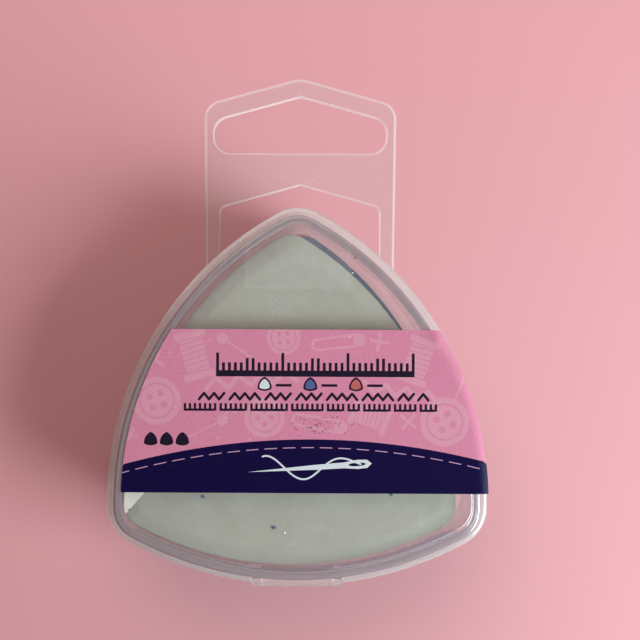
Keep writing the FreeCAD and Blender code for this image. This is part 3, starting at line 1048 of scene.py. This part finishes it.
def tape_stations(half):
    """Places along the face's edge under the film, from left to right, with a narrow border at each side."""
    stations = []
    for station in outline(corner_steps=60, side_steps=240):
        edge = station.at(TAPE_CREASE, 0)
        if station.out.y > 0.2 and abs(edge.x) < half and edge.y > TAPE_LOW.y:
            stations.append(station)
    stations.sort(key=lambda station: station.at(TAPE_CREASE, 0).x)
    ends = stations[0], stations[-1]
    kept = []
    for station in stations:
        if min((station.out - end.out).length for end in ends) > 0.004:
            kept.append(station)
    return [ends[0]] + kept + [ends[1]]


def tape(materials):
    """The film over the top corner: flat on the lid, taut from its edge to the flange, then a free flap."""
    face, start_y = DEPTH + TAPE_GAP, TAPE_LOW.y
    half = (TAPE_HIGH.x - TAPE_LOW.x) / 2
    profile = [(inset, face - drop) for inset, drop in TAPE_DROPS] + [(-0.03, TAPE_LOW.z)]
    rows, border = 14, 0.14  # of points on the face, and the width of the film's edge there
    taut = 3  # number of the profile's point after which the film hangs in folds
    points, stations = [], tape_stations(half)
    for station in stations:
        edge = station.at(TAPE_CREASE, 0)
        for row in range(rows):
            y = start_y
            if row:
                y += border + (edge.y - start_y - border) * (row - 1) / (rows - 1)
            wave = 0.012 * noise.noise(Vector((edge.x * 0.4, y * 0.5, 1.0))) + 0.012
            points.append(Vector((edge.x, y, face + max(0, wave))))
        curl = 0.45 * max(0, abs(edge.x) / half - 0.72) ** 1.2
        for index, (inset, z) in enumerate(profile):
            share = (index - taut) / (len(profile) - taut - 1)
            fold = max(-0.02, share * (0.10 * math.sin(edge.x * 2.1 + 0.6) + curl)) if share > 0 else 0
            points.append(station.at(inset - fold, z))
    count, faces, slots = rows + len(profile), [], []
    for i in range(len(stations) - 1):
        for j in range(count - 1):
            a, b = i * count + j, (i + 1) * count + j
            faces.append((a, b, b + 1, a + 1))
            slots.append(1 if i in (0, len(stations) - 2) or j in (0, count - 2) else 0)
    mesh = mesh_from("tape", points, faces, materials, slots)
    return new_piece("clear_seal_tape", mesh, "lid", "tape_film", "seal_tape")


# ---------------------------------------------------------------- materials

class Nodes:
    """Adds nodes to one tree and links them."""

    def __init__(self, tree):
        self.tree = tree

    def add(self, kind, inputs=None, **settings):
        """A new node. An input's value may be a number, a colour or another node's output."""
        node = self.tree.nodes.new("ShaderNode" + kind)
        for key, value in settings.items():
            setattr(node, key, value)
        for key, value in (inputs or {}).items():
            self.feed(node.inputs[key], value)
        return node

    def feed(self, socket, value):
        if isinstance(value, bpy.types.NodeSocket):
            self.tree.links.new(value, socket)
        else:
            socket.default_value = value

    def use(self, name, **inputs):
        """An instance of a shared group."""
        return self.add("Group", inputs, node_tree=bpy.data.node_groups[name])

    def math(self, operation, a, b, clamp=False):
        return self.add("Math", {0: a, 1: b}, operation=operation, use_clamp=clamp).outputs[0]

    def noise(self, vector, scale, detail, roughness=0.55, distortion=0.0):
        inputs = {"Vector": vector, "Scale": scale, "Detail": detail, "Roughness": roughness}
        return self.add("TexNoise", {**inputs, "Distortion": distortion}).outputs["Fac"]

    def spread(self, value, low, high, to_low=0.0, to_high=1.0):
        """Maps low..high onto to_low..to_high."""
        inputs = {"Value": value, "From Min": low, "From Max": high, "To Min": to_low, "To Max": to_high}
        return self.add("MapRange", inputs).outputs["Result"]

    def mix(self, share, a, b):
        node = self.add("Mix", data_type="RGBA")
        self.feed(node.inputs[0], share)
        self.feed(node.inputs[6], a)
        self.feed(node.inputs[7], b)
        return node.outputs[2]


def shared_group(name, inputs, outputs, build):
    """A shader node group. inputs are (name, socket kind, value), and outputs are (name, socket kind)."""
    tree = bpy.data.node_groups.new(name, "ShaderNodeTree")
    for title, kind, value in inputs:
        socket = tree.interface.new_socket(title, in_out="INPUT", socket_type="NodeSocket" + kind)
        if value is not None:
            socket.default_value = value
    for title, kind in outputs:
        tree.interface.new_socket(title, in_out="OUTPUT", socket_type="NodeSocket" + kind)
    nodes = Nodes(tree)
    start = tree.nodes.new("NodeGroupInput")
    end = tree.nodes.new("NodeGroupOutput")
    for key, value in build(nodes, start.outputs).items():
        nodes.feed(end.inputs[key], value)


def build_groups():
    """The effects that several materials share."""
    def grain(nodes, given):
        fine = nodes.noise(given["Vector"], given["Scale"], 5.0, 0.7)
        wide = nodes.noise(given["Vector"], nodes.math("MULTIPLY", given["Scale"], 0.13), 3.0, 0.5, 0.4)
        height = nodes.math("ADD", nodes.math("MULTIPLY", fine, 0.6), nodes.math("MULTIPLY", wide, 0.4))
        fine, wide = nodes.spread(fine, 0.35, 0.65), nodes.spread(wide, 0.35, 0.65)
        return {"Height": height, "Fine": fine, "Wide": wide}

    shared_group("Fine Grain", [("Vector", "Vector", None), ("Scale", "Float", 3000.0)],
                 [("Height", "Float"), ("Fine", "Float"), ("Wide", "Float")], grain)

    def scuffs(nodes, given):
        masks = []
        for turn, stretch in ((0.5, 9.0), (1.9, 14.0)):
            turned = nodes.add("Mapping", {"Vector": given["Vector"], "Rotation": (0, 0, turn),
                                           "Scale": (1.0, stretch, 1.0)}).outputs[0]
            lines = nodes.noise(turned, given["Scale"], 3.0, 0.6)
            masks.append(nodes.spread(lines, 0.66, 0.74))
        wide = nodes.noise(given["Vector"], nodes.math("MULTIPLY", given["Scale"], 0.2), 2.0)
        patches = nodes.spread(wide, 0.4, 0.62)
        both = nodes.math("MAXIMUM", masks[0], masks[1])
        return {"Mask": nodes.math("MULTIPLY", nodes.math("MULTIPLY", both, patches), given["Amount"], True)}

    shared_group("Handling Scuffs",
                 [("Vector", "Vector", None), ("Scale", "Float", 300.0), ("Amount", "Float", 1.0)],
                 [("Mask", "Float")], scuffs)

    def dust(nodes, given):
        wide = nodes.noise(given["Vector"], given["Scale"], 5.0, 0.62, 0.3)
        fine = nodes.noise(given["Vector"], nodes.math("MULTIPLY", given["Scale"], 14.0), 4.0, 0.7)
        mask = nodes.math("MULTIPLY", nodes.spread(wide, 0.42, 0.72), nodes.spread(fine, 0.3, 0.62))
        mask = nodes.math("MULTIPLY", mask, given["Amount"], True)
        return {"Color": nodes.mix(mask, given["Color"], given["Dust"])}

    shared_group("Chalk Dust", [("Vector", "Vector", None), ("Color", "Color", None), ("Dust", "Color", None),
                                ("Scale", "Float", 150.0), ("Amount", "Float", 0.3)],
                 [("Color", "Color")], dust)

    def ink(nodes, given):
        fibre = nodes.noise(given["Vector"], 2600.0, 4.0, 0.6)
        show = nodes.math("MULTIPLY", nodes.spread(fibre, 0.3, 0.7), given["Fibre"])
        tone = nodes.mix(show, given["Ink"], given["Paper"])
        rub = nodes.noise(given["Vector"], 900.0, 5.0, 0.75)
        where = nodes.spread(nodes.noise(given["Vector"], 70.0, 2.0), 0.52, 0.72)
        worn = nodes.math("MULTIPLY", nodes.spread(rub, 0.60, 0.68), where)
        worn = nodes.math("MULTIPLY", worn, given["Wear"], True)
        return {"Color": nodes.mix(worn, tone, given["Paper"]), "Height": fibre, "Worn": worn}

    shared_group("Printed Ink", [("Vector", "Vector", None), ("Ink", "Color", None), ("Paper", "Color", None),
                                 ("Fibre", "Float", 0.05), ("Wear", "Float", 0.5)],
                 [("Color", "Color"), ("Height", "Float"), ("Worn", "Float")], ink)


def start_material(name):
    """A new material, the helper for its nodes, and the place on the object to feed its textures."""
    material = bpy.data.materials.new(name)
    material.use_nodes = True
    material.node_tree.nodes.clear()
    nodes = Nodes(material.node_tree)
    return material, nodes, nodes.add("TexCoord").outputs["Object"]


def finish_material(material, nodes, shader):
    """The material with this shader on its surface."""
    nodes.add("OutputMaterial", {"Surface": shader})
    return material


def solid(colour, share=1.0):
    """A colour as a socket takes it, darkened to a share of itself."""
    return (*[part * share for part in colour], 1)


def lamp_through(nodes, shader, shade):
    """The shader, but open to lamps and to light that has bounced, so that all behind it is lit evenly."""
    passed = nodes.add("BsdfTransparent", {"Color": solid((1, 1, 1), shade)})
    path = nodes.add("LightPath")
    for ray in ("Is Shadow Ray", "Is Diffuse Ray"):
        shader = nodes.add("MixShader", {0: path.outputs[ray], 1: shader, 2: passed.outputs[0]}).outputs[0]
    return shader


def clear_material(name, tint, smooth, scuffed, wave, *, clear, shade, frost=0.0, coat=0.0):
    """Clear moulded plastic.

    clear is the share of it that isn't milky, shade how much light it lets past to what is behind it, frost
    how grained its surface is, and coat how much its skin shines.
    """
    material, nodes, place = start_material(name)
    scuffs = nodes.use("Handling Scuffs", Vector=place, Scale=260.0, Amount=1.0).outputs["Mask"]
    grain = nodes.use("Fine Grain", Vector=place, Scale=5200.0)
    flow = nodes.noise(place, 90.0, 2.0, 0.4, 0.6)
    height = nodes.math("ADD", flow, nodes.math("MULTIPLY", grain.outputs["Fine"], frost))
    bump = nodes.add("Bump", {"Height": height, "Strength": wave, "Distance": 0.0004})
    glass = nodes.add("BsdfPrincipled", {
        "Base Color": nodes.mix(nodes.spread(flow, 0.3, 0.7), solid(tint), solid(tint, 0.985)),
        "Roughness": nodes.spread(scuffs, 0.0, 1.0, smooth, scuffed), "IOR": 1.57,
        "Transmission Weight": clear, "Normal": bump.outputs["Normal"], "Coat Weight": coat})
    return finish_material(material, nodes, lamp_through(nodes, glass.outputs[0], shade))


def edge_material(name, tint, rough, glow):
    """The cut-like edges of the tab, which glow where light comes at them from inside the plate."""
    material, nodes, place = start_material(name)
    grain = nodes.use("Fine Grain", Vector=place, Scale=2600.0)
    bump = nodes.add("Bump", {"Height": grain.outputs["Height"], "Strength": 0.1, "Distance": 0.0002})
    glass = nodes.add("BsdfPrincipled", {
        "Base Color": solid(tint), "Roughness": nodes.spread(grain.outputs["Wide"], 0, 1, rough, rough * 2),
        "IOR": 1.57, "Transmission Weight": 1.0, "Normal": bump.outputs["Normal"]})
    milk = {"Color": (0.97, 0.97, 0.98, 1), "Normal": bump.outputs["Normal"]}
    through, back = nodes.add("BsdfTranslucent", milk), nodes.add("BsdfDiffuse", milk)
    milky = nodes.add("MixShader", {0: 0.35, 1: through.outputs[0], 2: back.outputs[0]})
    both = nodes.add("MixShader", {0: glow, 1: glass.outputs[0], 2: milky.outputs[0]})
    return finish_material(material, nodes, lamp_through(nodes, both.outputs[0], 0.98))


def film_material(name, haze):
    """Thin sticky film on clear plastic: all but invisible, a little milky."""
    material, nodes, place = start_material(name)
    cloud = nodes.spread(nodes.noise(place, 320.0, 3.0), 0.3, 0.7, haze * 0.7, haze * 1.4)
    streaks = nodes.use("Handling Scuffs", Vector=place, Scale=200.0, Amount=0.5).outputs["Mask"]
    body = nodes.add("BsdfPrincipled", {
        "Base Color": nodes.mix(streaks, (0.86, 0.86, 0.85, 1), (0.95, 0.95, 0.95, 1)),
        "Roughness": nodes.spread(streaks, 0, 1, 0.15, 0.4),
        "Alpha": nodes.math("ADD", cloud, nodes.math("MULTIPLY", streaks, 0.08))})
    return finish_material(material, nodes, body.outputs[0])


def chalk_material(name, colour, dust, amount):
    """Dry pressed chalk, flecked and dusty. amount is how much loose dust lies on it."""
    material, nodes, place = start_material(name)
    grain = nodes.use("Fine Grain", Vector=place, Scale=2400.0)
    shade = nodes.mix(nodes.spread(grain.outputs["Wide"], 0, 1, 0.0, 0.5), solid(colour), solid(colour, 0.88))
    fleck = nodes.spread(nodes.noise(place, 1500.0, 2.0, 0.5), 0.71, 0.76)
    shade = nodes.mix(nodes.math("MULTIPLY", fleck, 0.35), shade, solid(colour, 0.45))
    dusty = nodes.use("Chalk Dust", Vector=place, Color=shade, Dust=solid(dust), Scale=160.0, Amount=amount)
    bump = nodes.add("Bump", {"Height": grain.outputs["Height"], "Strength": 0.35, "Distance": 0.0002})
    body = nodes.add("BsdfPrincipled", {
        "Base Color": dusty.outputs["Color"],
        "Roughness": nodes.spread(grain.outputs["Fine"], 0, 1, 0.86, 0.98),
        "Specular IOR Level": 0.25, "Normal": bump.outputs["Normal"]})
    return finish_material(material, nodes, body.outputs[0])


def ink_material(name, ink, wear, gloss=0.42, fibre=0.08):
    """Ink printed on paper, worn through in places. fibre is how much of the paper's grain shows."""
    material, nodes, place = start_material(name)
    printed = nodes.use(
        "Printed Ink", Vector=place, Ink=solid(ink), Paper=(0.78, 0.76, 0.78, 1), Wear=wear, Fibre=fibre)
    bump = nodes.add("Bump", {"Height": printed.outputs["Height"], "Strength": 0.10, "Distance": 0.0001})
    body = nodes.add("BsdfPrincipled", {
        "Base Color": printed.outputs["Color"],
        "Roughness": nodes.spread(printed.outputs["Worn"], 0, 1, gloss, 0.8),
        "Specular IOR Level": 0.12, "Normal": bump.outputs["Normal"]})
    return finish_material(material, nodes, body.outputs[0])


def floor_material(colour):
    """A plain matt floor, very slightly uneven in tone."""
    material, nodes, place = start_material("plain_floor")
    tone = nodes.spread(nodes.noise(place, 9.0, 3.0, 0.5), 0.3, 0.7, 0.0, 0.25)
    shade = nodes.mix(tone, solid(colour), solid(colour, 0.93))
    body = nodes.add("BsdfPrincipled", {"Base Color": shade, "Roughness": 0.75, "Specular IOR Level": 0.2})
    return finish_material(material, nodes, body.outputs[0])


# ---------------------------------------------------------------- settings

VIEW_DISTANCE, VIEW_WIDTH = 226, 119.4  # the camera's height, and the width of floor that fills its view


def colour_setting(name, about, value):
    return bpy.props.FloatVectorProperty(
        name=name, description=about, default=value, subtype="COLOR", min=0, max=1)


def roughness_setting(name, about, value):
    return bpy.props.FloatProperty(
        name=name, description=about, default=value, subtype="FACTOR", min=0, max=1)


def power_setting(name, about, value):
    return bpy.props.FloatProperty(name=name, description=about, default=value, unit="POWER", min=0)


class ChalkBoxCase(bpy.types.PropertyGroup):
    """The clear plastic of the tray and the lid."""
    tint: colour_setting("Tint", "Colour of the clear plastic", (0.985, 0.985, 0.99))
    smooth: roughness_setting("Polish", "Roughness of unmarked plastic", 0.015)
    scuffed: roughness_setting("Scuffs", "Roughness where the plastic is scuffed", 0.1)
    frost: roughness_setting("Rim Frost", "Roughness of the textured flanges", 0.32)


class ChalkBoxLabel(bpy.types.PropertyGroup):
    """The inks of the printed label."""
    field: colour_setting("Field", "The label's ground", (0.585, 0.182, 0.29))
    pale: colour_setting("Motifs", "The paler motifs on the ground", (0.61, 0.245, 0.335))
    band: colour_setting("Band", "The dark band", (0.004, 0.001, 0.036))
    stitch: colour_setting("Stitches", "The stitches on the band", (0.50, 0.25, 0.40))
    dark: colour_setting("Dark Ink", "The ruled scale and the small rules", (0.008, 0.004, 0.016))
    white: colour_setting("White Ink", "The needle and the white chalk's sign", (0.60, 0.62, 0.66))


class ChalkBoxChalks(bpy.types.PropertyGroup):
    """The three chalks."""
    white: colour_setting("White Chalk", "The front chalk", (0.347, 0.331, 0.269))
    # Painted light: the pale colour of the front chalk's flattened strip, a painted patch of light; it also
    # colours two pale crumbs
    light_painted: colour_setting("Lit Chalk", "Where the front chalk has been rubbed pale", (0.88, 0.80, 0.70))
    blue: colour_setting("Blue Chalk", "The middle chalk", (0.035, 0.045, 0.14))
    red: colour_setting("Red Chalk", "The back chalk", (0.42, 0.085, 0.07))
    dust: colour_setting("Dust", "Loose chalk dust", (0.62, 0.62, 0.57))


class ChalkBoxStage(bpy.types.PropertyGroup):
    """The floor, the lights and the camera."""
    floor: colour_setting("Floor", "The plain floor", (0.72, 0.33, 0.364))
    lamp_power: power_setting("Window Power", "Power of the soft lamp at the right", 2.65)
    fill_power: power_setting("Fill Power", "Power of the weaker lamp beyond the tab", 0.78)
    sky: bpy.props.FloatProperty(
        name="Room Light", description="Strength of the light from all round", default=0.14, min=0)
    camera_height: bpy.props.FloatProperty(
        name="Camera Height", description="Height of the camera above the floor", default=VIEW_DISTANCE * MM,
        min=0.05, unit="LENGTH")


# ---------------------------------------------------------------- operators

class OBJECT_OT_chalk_box_tray(bpy.types.Operator):
    """Build the clear tray with its hanging tab and hinge ears"""
    bl_idname = "object.chalk_box_tray"
    bl_label = "Clear Tray"
    bl_options = {"REGISTER", "UNDO"}

    def execute(self, context):
        clear_tray(plastics(context))
        return {"FINISHED"}


class OBJECT_OT_chalk_box_lid(bpy.types.Operator):
    """Build the clear hinged lid"""
    bl_idname = "object.chalk_box_lid"
    bl_label = "Clear Lid"
    bl_options = {"REGISTER", "UNDO"}

    def execute(self, context):
        clear_lid(plastics(context))
        return {"FINISHED"}


class OBJECT_OT_chalk_box_chalks(bpy.types.Operator):
    """Build the three worn chalks"""
    bl_idname = "object.chalk_box_chalks"
    bl_label = "Chalks"
    bl_options = {"REGISTER", "UNDO"}

    def execute(self, context):
        looks = context.scene.chalk_box_chalks
        red = chalk_material("chalk_red", looks.red, looks.dust, 0.35)
        blue = chalk_material("chalk_blue", looks.blue, looks.dust, 0.2)
        white = chalk_material("chalk_white", looks.white, looks.dust, 0.25)
        # Painted light: this pale colour on the flattened strip is a painted patch of light
        pale = chalk_material("chalk_rubbed", looks.light_painted, looks.dust, 0.1)
        grit = chalk_material("chalk_grit", (0.05, 0.03, 0.04), looks.dust, 0.1)
        for index, materials in enumerate(([red], [blue], [white, pale, blue, red, grit])):
            chalk(index, materials)
        return {"FINISHED"}


class OBJECT_OT_chalk_box_label(bpy.types.Operator):
    """Build the printed label"""
    bl_idname = "object.chalk_box_label"
    bl_label = "Printed Label"
    bl_options = {"REGISTER", "UNDO"}

    def execute(self, context):
        looks, chalks = context.scene.chalk_box_label, context.scene.chalk_box_chalks
        inks = [
            ink_material("ink_field", looks.field, 0.7),
            ink_material("ink_pale", looks.pale, 0.5),
            ink_material("ink_band", looks.band, 0.05, 0.4, 0.003),
            ink_material("ink_stitch", looks.stitch, 0.2),
            ink_material("ink_dark", looks.dark, 0.4, 0.42, 0.01),
            ink_material("ink_white", looks.white, 0.1),
            ink_material("ink_blue", [part * 1.6 for part in chalks.blue], 0.2),
            ink_material("ink_red", chalks.red, 0.2),
            ink_material("ink_smudge", (0.16, 0.07, 0.11), 0.9, 0.6),
        ]
        label(inks, ink_material("label_paper", (0.74, 0.72, 0.74), 0.0, 0.7))
        return {"FINISHED"}


class OBJECT_OT_chalk_box_tape(bpy.types.Operator):
    """Build the clear sealing tape"""
    bl_idname = "object.chalk_box_tape"
    bl_label = "Sealing Tape"
    bl_options = {"REGISTER", "UNDO"}

    def execute(self, context):
        tape([film_material("tape_film", 0.035), film_material("tape_edge", 0.12)])
        return {"FINISHED"}


class OBJECT_OT_chalk_box_stage(bpy.types.Operator):
    """Set up the floor, the lights and the camera"""
    bl_idname = "object.chalk_box_stage"
    bl_label = "Stage"
    bl_options = {"REGISTER", "UNDO"}

    def execute(self, context):
        stage(context.scene)
        return {"FINISHED"}


def plastics(context):
    """The case's plastics in the order of PLASTICS, made once for the tray and the lid."""
    if PLASTICS[POLISHED] not in bpy.data.materials:
        looks = context.scene.chalk_box_case
        clear_material("polished_plastic", looks.tint, looks.smooth, looks.scuffed, 0.12,
                       clear=0.95, shade=0.99)
        clear_material("rim_plastic", (0.99, 0.925, 0.92), looks.frost, looks.frost + 0.1, 0.1,
                       clear=0.86, shade=0.93, frost=0.3, coat=1.0)
        # The ring's dark grey, half milky tint is partly haze and partly painted shade of the wall seen
        # end-on
        clear_material("ring_plastic", (0.41, 0.35, 0.378), 0.2, 0.3, 0.05, clear=0.5, shade=0.75, coat=1.0)
        clear_material("wall_plastic", (0.92, 0.89, 0.91), 0.06, 0.12, 0.05, clear=0.965, shade=0.65)
        edge_material("edge_plastic", looks.tint, 0.12, 0.75)
    return [bpy.data.materials[name] for name in PLASTICS]


def soft_lamp(scene, name, place, size, power, colour):
    """A square lamp that faces the box. Its place and size are in metres."""
    lamp = bpy.data.lights.new(name, "AREA")
    lamp.shape, lamp.size, lamp.energy, lamp.color = "SQUARE", size, power, colour
    holder = bpy.data.objects.new(name, lamp)
    holder.location = place
    aim = Vector((0, 12, 8)) * MM
    holder.rotation_euler = (aim - holder.location).to_track_quat("-Z", "Y").to_euler()
    scene.collection.objects.link(holder)


def stage(scene):
    """The floor, two soft lamps, the light of the room, and a camera that looks straight down."""
    looks = scene.chalk_box_stage
    reach, low = 2500.0, -0.06
    corners = [(-reach, -reach, low), (reach, -reach, low), (reach, reach, low), (-reach, reach, low)]
    mesh = mesh_from("floor", corners, [(0, 1, 2, 3)], [floor_material(looks.floor)])
    floor = bpy.data.objects.new("floor", mesh)
    scene.collection.objects.link(floor)

    soft_lamp(scene, "window", (0.31, -0.135, 0.175), 0.24, looks.lamp_power, (0.80, 0.97, 1.0))
    soft_lamp(scene, "room", (-0.05, 0.27, 0.19), 0.36, looks.fill_power, (1.0, 0.93, 0.87))

    world = bpy.data.worlds.new("room")
    world.use_nodes = True
    back = world.node_tree.nodes["Background"]
    back.inputs["Color"].default_value = (1.0, 0.70, 0.62, 1)
    back.inputs["Strength"].default_value = looks.sky
    scene.world = world

    camera = bpy.data.cameras.new("camera")
    camera.sensor_width = 36
    camera.lens = camera.sensor_width * VIEW_DISTANCE / VIEW_WIDTH
    view = bpy.data.objects.new("camera", camera)
    view.location = (3.8 * MM, 17.5 * MM, looks.camera_height)
    view.rotation_euler = (0, 0, math.radians(0.3))
    scene.collection.objects.link(view)
    scene.camera = view
    scene.view_settings.view_transform = "Standard"


class VIEW3D_PT_chalk_box(bpy.types.Panel):
    """Lists the box's pieces and its settings"""
    bl_idname = "VIEW3D_PT_chalk_box"
    bl_label = "Chalk Box"
    bl_space_type = "VIEW_3D"
    bl_region_type = "UI"
    bl_category = "Chalk Box"

    def draw(self, context):
        for operator in OPERATORS:
            self.layout.operator(operator.bl_idname)
        for key in SETTINGS:
            box = self.layout.box()
            settings = getattr(context.scene, key)
            for name in settings.__annotations__:
                box.prop(settings, name)


SETTINGS = {
    "chalk_box_case": ChalkBoxCase,
    "chalk_box_label": ChalkBoxLabel,
    "chalk_box_chalks": ChalkBoxChalks,
    "chalk_box_stage": ChalkBoxStage,
}
OPERATORS = (
    OBJECT_OT_chalk_box_tray,
    OBJECT_OT_chalk_box_lid,
    OBJECT_OT_chalk_box_chalks,
    OBJECT_OT_chalk_box_label,
    OBJECT_OT_chalk_box_tape,
    OBJECT_OT_chalk_box_stage,
)


def register():
    for group in (*SETTINGS.values(), *OPERATORS, VIEW3D_PT_chalk_box):
        bpy.utils.register_class(group)
    for key, group in SETTINGS.items():
        setattr(bpy.types.Scene, key, bpy.props.PointerProperty(type=group))


def unregister():
    for key in SETTINGS:
        delattr(bpy.types.Scene, key)
    for group in reversed((*SETTINGS.values(), *OPERATORS, VIEW3D_PT_chalk_box)):
        bpy.utils.unregister_class(group)


def main():
    register()
    build_groups()
    bpy.ops.object.chalk_box_tray()
    bpy.ops.object.chalk_box_lid()
    bpy.ops.object.chalk_box_chalks()
    bpy.ops.object.chalk_box_label()
    bpy.ops.object.chalk_box_tape()
    bpy.ops.object.chalk_box_stage()


if __name__ == "__main__":
    main()
